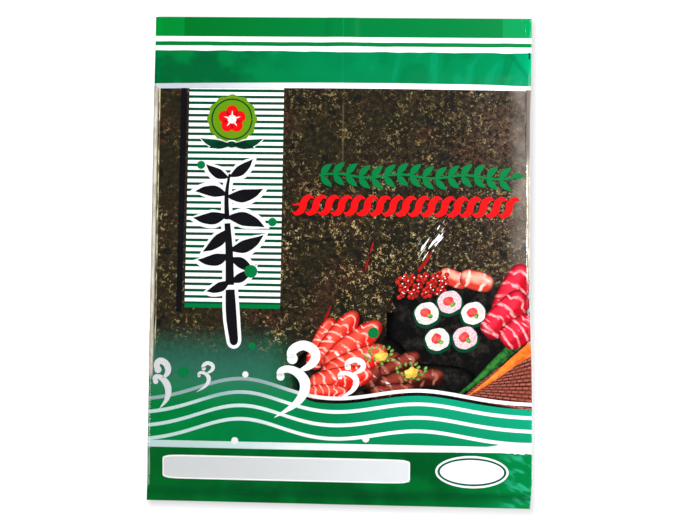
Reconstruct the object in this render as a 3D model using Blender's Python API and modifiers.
"""Flat film pouch with ten roasted nori sheets, lying on its back.

+X runs across the pouch, +Y up to its header, +Z out of its printed front.
The origin is under the middle of the pouch, on the surface that it lies on.
The film is one wrapped strip: its edges overlap along the middle of the back, and its two
layers are fused across both ends. The overlap keeps a hairline slit in place of its glue line.
"""
import math

import bmesh
import bpy
from mathutils import Vector, noise

MM = 0.001

# the pouch, all in metres
POUCH_WIDTH = 195 * MM
POUCH_LENGTH = 250 * MM
FILM = 0.2 * MM
CLEARANCE = 0.25 * MM
TOP_SEAL = 14 * MM
BOTTOM_SEAL = 5 * MM
SEAL_SPREAD = 0.6 * MM
LAP_WIDTH = 10 * MM
LAP_GAP = 0.2 * MM
LAP_RAMP = 4 * MM
LAP_MARGIN = 0.5 * MM
FOLD_DEPTH = 1.6 * MM
CUT_SKEW = 0.006       # the web was cut a little out of square: metres down per metre to the right

# the nori sheets
NORI_COUNT = 10
NORI_WIDTH = 190 * MM
NORI_LENGTH = 210 * MM
NORI_THICKNESS = 0.25 * MM
NORI_GAP = 0.2 * MM
NORI_TO_SEAL = 3 * MM
NORI_WAVE = 0.12 * MM
NORI_RAGGED = 0.5 * MM
NORI_SLIP = 0.45 * MM
NORI_TURN = math.radians(0.12)

# the stack is lifted by the lap under it, and comes down again away from it
LIFT_HALF = 15 * MM
LIFT_RAMP = 45 * MM

# the desiccant sachet in the header, behind the green band
SACHET_LENGTH = 42 * MM
SACHET_WIDTH = 13 * MM
SACHET_THICKNESS = 2 * MM
SACHET_RIM = 0.35 * MM
SACHET_X = -62 * MM
SACHET_TO_SEAL = 3 * MM

# loose film: soft folds in the header and air between the film and the stack
HEADER_FOLD = 0.35 * MM
FILM_PUFF = 0.3 * MM

# how finely the film is divided, across (by stretch) and along (end, number of rows)
FLAP_COLUMNS = 2
RAMP_COLUMNS = 3
BACK_COLUMNS = 6
FOLD_COLUMNS = 6
FRONT_COLUMNS = 32
NORI_COLUMNS = 10
NORI_ROWS = 12
TOP_NORI_COLUMNS = 16
TOP_NORI_ROWS = 18

# places along the pouch
LENGTH_HALF = POUCH_LENGTH / 2
BOTTOM_SEAL_Y = -LENGTH_HALF + BOTTOM_SEAL
TOP_SEAL_Y = LENGTH_HALF - TOP_SEAL
NORI_BOTTOM_Y = BOTTOM_SEAL_Y + NORI_TO_SEAL
NORI_TOP_Y = NORI_BOTTOM_Y + NORI_LENGTH
NORI_MIDDLE_Y = (NORI_BOTTOM_Y + NORI_TOP_Y) / 2
SACHET_Y = TOP_SEAL_Y - SACHET_TO_SEAL - SACHET_WIDTH / 2

# heights of the film's middle surface
BACK_Z = FILM / 2
LAP_RISE = FILM + LAP_GAP
SEAL_Z = BACK_Z + FILM + LAP_GAP
NORI_PITCH = NORI_THICKNESS + NORI_GAP
STACK_Z = FILM + CLEARANCE + NORI_COUNT * NORI_PITCH - NORI_GAP


def smooth(t):
    """Ease from 0 to 1, held outside that range."""
    t = min(max(t, 0.0), 1.0)
    return t * t * (3 - 2 * t)


def spread(start, end, count):
    """Count equal steps from start, without the end itself."""
    return [start + (end - start) * i / count for i in range(count)]


def lap_rise(x):
    """Height that the overlap of the back seam gives to a layer pressed over it."""
    return LAP_RISE * (1 - smooth((abs(x) - LAP_WIDTH / 2 - LAP_MARGIN) / LAP_RAMP))


def stack_lift(x):
    """Height that the stiff sheets keep from the overlap under them."""
    return LAP_RISE * (1 - smooth((abs(x) - LIFT_HALF) / LIFT_RAMP))


def nori_wave(x, y):
    """Slow waves of the stack, from 0 at the lowest sheet to their full height at the top one."""
    wave = math.sin(x / (21 * MM) + 1.1) * math.cos(y / (33 * MM) - 0.4)
    wave += 0.6 * math.sin(y / (19 * MM) + x / (40 * MM))
    return NORI_WAVE * wave


def seal_weight(y):
    """1 over the stack, 0 in both seals, eased between them."""
    below = smooth((y - BOTTOM_SEAL_Y) / (NORI_TO_SEAL - 0.5 * MM))
    above = 1 - smooth((y - NORI_TOP_Y - 0.5 * MM) / (TOP_SEAL_Y - NORI_TOP_Y - 0.5 * MM))
    return below * above


def header_folds(x, y):
    """Soft folds of the loose film between the stack and the top seal."""
    across = math.sin(x / (7.5 * MM) + 3 * math.sin(x / (31 * MM)))
    along = math.sin(math.pi * min(max((y - NORI_TOP_Y) / (TOP_SEAL_Y - NORI_TOP_Y), 0.0), 1.0))
    return HEADER_FOLD * across * along


def film_puff(x, y):
    """Air between the film and the stack, most in the middle of the window."""
    pillow = math.cos(math.pi * x / POUCH_WIDTH) * math.cos(math.pi * (y - NORI_MIDDLE_Y) / POUCH_LENGTH)
    ripple = 0.5 + 0.5 * math.sin(x / (26 * MM) + y / (18 * MM) + 2 * math.sin(y / (47 * MM)))
    return FILM_PUFF * max(pillow, 0.0) * ripple


def over_sachet(x, y):
    """Height of the film where it is held up by the sachet."""
    outside_x = max(abs(x - SACHET_X) - SACHET_LENGTH / 2 - 2 * MM, 0.0)
    outside_y = max(abs(y - SACHET_Y) - SACHET_WIDTH / 2, 0.0)
    away = math.hypot(outside_x / (9 * MM), outside_y / SACHET_TO_SEAL)
    top = FILM + CLEARANCE + SACHET_THICKNESS + CLEARANCE + FILM / 2
    return top * (1 - smooth(away))


def front_height(x, y):
    """Height of the front film's middle surface."""
    weight = seal_weight(y)
    over_stack = STACK_Z + CLEARANCE + FILM / 2 + stack_lift(x) + nori_wave(x, y) + film_puff(x, y)
    pressed = SEAL_Z + lap_rise(x)
    height = pressed + (over_stack - pressed) * weight + header_folds(x, y)
    if y < TOP_SEAL_Y:
        height = max(height, over_sachet(x, y))
    return height


def half_width(y):
    """Half of the width of the film's middle surface: the pouch draws in a little over the stack."""
    return POUCH_WIDTH / 2 - FILM / 2 + SEAL_SPREAD / 2 * (1 - seal_weight(y))


def fold_depth(y):
    """Depth of the rounded side fold, a tight half circle where the layers are pressed together."""
    tight = (SEAL_Z - BACK_Z) / 2
    return tight + (FOLD_DEPTH - tight) * seal_weight(y)


def pouch_section(y):
    """Points (x, z) of the film across the pouch, from the inner flap round to the outer flap."""
    flat = half_width(y) - fold_depth(y)
    ramp_start = -LAP_WIDTH / 2 - LAP_MARGIN
    ramp_end = ramp_start - LAP_RAMP
    points = [(x, BACK_Z + LAP_RISE) for x in spread(LAP_WIDTH / 2, ramp_start, FLAP_COLUMNS)]
    points += [(x, BACK_Z + lap_rise(x)) for x in spread(ramp_start, ramp_end, RAMP_COLUMNS)]
    points += [(x, BACK_Z) for x in spread(ramp_end, -flat, BACK_COLUMNS)]
    points += side_fold(y, -1)
    points += [(x, front_height(x, y)) for x in spread(-flat, flat, FRONT_COLUMNS)]
    points += side_fold(y, 1)
    points += [(x, BACK_Z) for x in spread(flat, -LAP_WIDTH / 2, BACK_COLUMNS + 2)]
    points.append((-LAP_WIDTH / 2, BACK_Z))
    return points


def side_fold(y, side):
    """Points of one side fold, upwards on the left (side -1) and downwards on the right."""
    depth = fold_depth(y)
    flat = half_width(y) - depth
    top = front_height(side * flat, y)
    middle = (top + BACK_Z) / 2
    reach = (top - BACK_Z) / 2
    points = []
    for t in spread(0.0, 1.0, FOLD_COLUMNS):
        angle = side * (math.pi / 2 - math.pi * t)
        points.append((side * (flat + depth * math.cos(angle)), middle + reach * math.sin(angle)))
    return points


def pouch_rows():
    """Places along the pouch, close together where the film comes down to its seals."""
    rows = spread(-LENGTH_HALF, BOTTOM_SEAL_Y, 1)
    rows += spread(BOTTOM_SEAL_Y, NORI_BOTTOM_Y, 5)
    rows += spread(NORI_BOTTOM_Y, NORI_TOP_Y, 22)
    rows += spread(NORI_TOP_Y, TOP_SEAL_Y, 7)
    rows += spread(TOP_SEAL_Y, LENGTH_HALF, 1)
    return rows + [LENGTH_HALF]


def material(name, colour, roughness, alpha=1.0):
    """A Principled finish."""
    finish = bpy.data.materials.new(name)
    finish.use_nodes = True
    shader = finish.node_tree.nodes["Principled BSDF"]
    shader.inputs["Base Color"].default_value = (*colour, 1.0)
    shader.inputs["Roughness"].default_value = roughness
    shader.inputs["Metallic"].default_value = 0.0
    shader.inputs["Alpha"].default_value = alpha
    return finish


def unit_grid(name, columns, rows, collection):
    """A flat grid of one metre, whose points the caller puts in place."""
    bpy.ops.mesh.primitive_grid_add(x_subdivisions=columns, y_subdivisions=rows, size=1)
    grid = bpy.context.object
    grid.name = name
    grid.data.name = name
    for home in list(grid.users_collection):
        home.objects.unlink(grid)
    collection.objects.link(grid)
    return grid


def thicken(sheet, thickness):
    """Give an open surface its wall, with both faces split into triangles alike."""
    split = sheet.modifiers.new("split", "TRIANGULATE")
    split.quad_method = "FIXED"
    wall = sheet.modifiers.new("wall", "SOLIDIFY")
    wall.thickness = thickness
    wall.offset = 0
    wall.use_even_offset = True


def film_pouch(collection, guides, finish):
    """The wrapped film, with its two end seals joined to it."""
    rows = pouch_rows()
    sections = [pouch_section(y) for y in rows]
    columns = len(sections[0]) - 1
    pouch = unit_grid("film_pouch", columns, len(rows) - 1, collection)
    for vertex in pouch.data.vertices:
        column = round((vertex.co.x + 0.5) * columns)
        row = round((vertex.co.y + 0.5) * (len(rows) - 1))
        x, z = sections[row][column]
        vertex.co = (x, rows[row] - CUT_SKEW * x, z)
    pouch.data.materials.append(finish)
    pouch.data.flip_normals()
    thicken(pouch, FILM)
    for name, start, end in (("bottom_seal", -LENGTH_HALF, BOTTOM_SEAL_Y),
                             ("top_seal", TOP_SEAL_Y, LENGTH_HALF)):
        join = pouch.modifiers.new(name, "BOOLEAN")
        join.operation = "UNION"
        join.solver = "EXACT"
        join.object = seal_filling(name, start, end, guides)
    return pouch


def seal_filling(name, start, end, guides):
    """What fills the space between the two fused layers, from one middle surface to the other."""
    inset = 0.1 * MM
    flat = half_width(start) - 0.25 * fold_depth(start)
    filling = unit_grid(name, 2 * FRONT_COLUMNS, 1, guides)
    shape = bmesh.new()
    shape.from_mesh(filling.data)
    for vertex in shape.verts:
        x = vertex.co.x * 2 * flat
        y = start + inset + (vertex.co.y + 0.5) * (end - start - 2 * inset)
        vertex.co = (x, y - CUT_SKEW * x, SEAL_Z + lap_rise(x))
    raised = bmesh.ops.extrude_face_region(shape, geom=shape.faces[:])
    for item in raised["geom"]:
        if isinstance(item, bmesh.types.BMVert):
            item.co.z = BACK_Z
    bmesh.ops.recalc_face_normals(shape, faces=shape.faces[:])
    shape.to_mesh(filling.data)
    shape.free()
    filling.hide_render = True
    filling.display_type = "WIRE"
    return filling


def nori_sheet(index, collection, finish):
    """One roasted sheet, a little out of line with its neighbours and ragged along its edges."""
    top = index == NORI_COUNT - 1
    columns = TOP_NORI_COLUMNS if top else NORI_COLUMNS
    rows = TOP_NORI_ROWS if top else NORI_ROWS
    sheet = unit_grid(f"nori_sheet_{index + 1:02d}", columns, rows, collection)
    turn = NORI_TURN * math.sin(2.3 * index + 0.7)
    slip_x = NORI_SLIP * math.sin(1.7 * index + 0.4)
    slip_y = NORI_SLIP * math.cos(2.9 * index)
    base = FILM + CLEARANCE + NORI_THICKNESS / 2 + index * NORI_PITCH
    for vertex in sheet.data.vertices:
        u, v = vertex.co.x, vertex.co.y
        grain = noise.noise(Vector((u * 9, v * 9, index * 3.1)))
        x = u * (NORI_WIDTH - NORI_RAGGED) + NORI_RAGGED * grain * (abs(u) > 0.499)
        y = v * (NORI_LENGTH - NORI_RAGGED) + NORI_RAGGED * grain * (abs(v) > 0.499)
        placed_x = x * math.cos(turn) - y * math.sin(turn) + slip_x
        placed_y = x * math.sin(turn) + y * math.cos(turn) + slip_y + NORI_MIDDLE_Y
        share = index / (NORI_COUNT - 1)
        lift = stack_lift(placed_x) + share * nori_wave(placed_x, placed_y)
        vertex.co = (placed_x, placed_y, base + lift)
    sheet.data.materials.append(finish)
    thicken(sheet, NORI_THICKNESS)
    return sheet


def desiccant_sachet(collection, finish):
    """A small stick sachet: a filled pillow with a flat sealed rim."""
    bpy.ops.mesh.primitive_cube_add(size=1)
    sachet = bpy.context.object
    sachet.name = "desiccant_sachet"
    sachet.data.name = "desiccant_sachet"
    for home in list(sachet.users_collection):
        home.objects.unlink(sachet)
    collection.objects.link(sachet)
    shape = bmesh.new()
    shape.from_mesh(sachet.data)
    lengthwise = [e for e in shape.edges if abs(e.verts[0].co.x - e.verts[1].co.x) > 0.5]
    bmesh.ops.subdivide_edges(shape, edges=lengthwise, cuts=11, use_grid_fill=True)
    crosswise = [e for e in shape.edges if abs(e.verts[0].co.y - e.verts[1].co.y) > 0.5]
    bmesh.ops.subdivide_edges(shape, edges=crosswise, cuts=5, use_grid_fill=True)
    base = FILM + CLEARANCE
    for vertex in shape.verts:
        u, v, w = vertex.co
        fill_x = smooth((0.5 - abs(u)) / 0.2 - 0.35)
        fill_y = smooth((0.5 - abs(v)) / 0.3 - 0.1)
        height = SACHET_RIM + (SACHET_THICKNESS - SACHET_RIM) * fill_x * fill_y
        z = base + (height if w > 0 else 0.0)
        vertex.co = (SACHET_X + u * SACHET_LENGTH, SACHET_Y + v * SACHET_WIDTH, z)
    shape.to_mesh(sachet.data)
    shape.free()
    sachet.data.materials.append(finish)
    return sachet


def new_collection(name):
    """A collection linked to the scene."""
    collection = bpy.data.collections.new(name)
    bpy.context.scene.collection.children.link(collection)
    return collection


def main():
    """Clear the scene and build the filled pouch."""
    for item in list(bpy.data.objects):
        bpy.data.objects.remove(item, do_unlink=True)
    pack = new_collection("nori_pack")
    guides = new_collection("guides")
    film = material("printed_film", (0.0, 0.27, 0.09), 0.25, alpha=0.6)
    nori = material("roasted_nori", (0.03, 0.03, 0.018), 0.6)
    paper = material("sachet_paper", (0.8, 0.8, 0.78), 0.7)
    film_pouch(pack, guides, film)
    for index in range(NORI_COUNT):
        nori_sheet(index, pack, nori)
    desiccant_sachet(pack, paper)


main()
